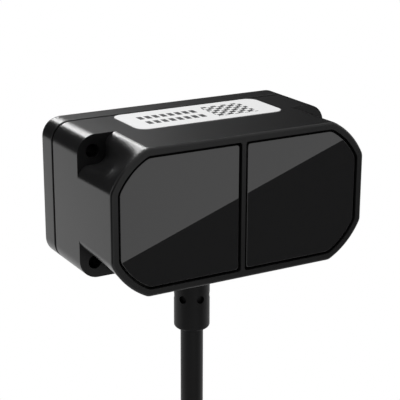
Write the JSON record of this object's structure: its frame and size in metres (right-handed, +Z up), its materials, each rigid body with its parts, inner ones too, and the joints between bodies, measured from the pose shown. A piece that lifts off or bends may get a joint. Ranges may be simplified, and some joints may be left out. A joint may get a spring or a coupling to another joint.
{
  "type": "lidar distance sensor",
  "caption": "Box-shaped optical distance sensor with glossy black windows, notched corners for its mounting screws, and a cable with a moulded strain relief, folded and tied.",
  "frame": {"origin": "centre of the flat rear face", "axes": "+Z up, +X along the body's width, and +Y out of the rear face, so the windows look along -Y"},
  "size_m": [0.0696, 0.0391, 0.2324],
  "materials": {
    "housing": "black, finely textured, satin",
    "window": "polished black, passes infrared light",
    "seal": "soft black rubber",
    "adhesive": "black foam",
    "optics_plastic": "matte black moulding",
    "lens_glass": "polished glass",
    "filter_glass": "coated glass",
    "circuit_board": "green solder mask",
    "steel": "plated steel",
    "brass": "turned brass",
    "chip_package": "moulded black package",
    "connector_plastic": "pale moulded plastic",
    "wire_red": "smooth insulation",
    "wire_black": "smooth insulation",
    "wire_green": "smooth insulation",
    "wire_white": "smooth insulation",
    "label_film": null,
    "cable_rubber": "soft black jacket, satin",
    "moulded_black": "moulded black plastic"
  },
  "bodies": {
    "root": {"front_housing": "housing", "rear_cover": "housing", "cover_seal": "seal", "window_left": "window", "window_right": "window", "window_adhesive_left": "adhesive", "window_adhesive_right": "adhesive", "optics_frame": "optics_plastic", "transmit_lens_ring": "optics_plastic", "receive_lens_ring": "optics_plastic", "transmit_lens": "lens_glass", "receive_lens": "lens_glass", "bandpass_filter": "filter_glass", "laser_board": "circuit_board", "receiver_board": "circuit_board", "main_board": "circuit_board", "laser_diode": "steel", "photodiode": "chip_package", "shield_can": "steel", "processor_chip": "chip_package", "timing_chip": "chip_package", "memory_chip": "chip_package", "power_inductor": "chip_package", "power_capacitor": "steel", "board_header": "connector_plastic", "lead_plug": "connector_plastic", "wire_red": "wire_red", "wire_black": "wire_black", "wire_green": "wire_green", "wire_white": "wire_white", "board_spacer_1": "brass", "board_spacer_2": "brass", "board_spacer_3": "brass", "board_spacer_4": "brass", "board_screw_1": "steel", "board_screw_2": "steel", "board_screw_3": "steel", "board_screw_4": "steel", "optics_screw_1": "steel", "optics_screw_2": "steel", "cover_screw_1": "steel", "cover_screw_2": "steel", "cover_screw_3": "steel", "cover_screw_4": "steel", "top_label": "label_film", "cable_relief": "cable_rubber", "cable_ferrule": "steel", "cable": "cable_rubber", "cable_hank": "cable_rubber", "cable_tail": "cable_rubber", "cable_tie": "moulded_black", "plug_grip": "moulded_black", "plug_insert": "moulded_black", "plug_nut": "steel"}
  },
  "joints": []
}
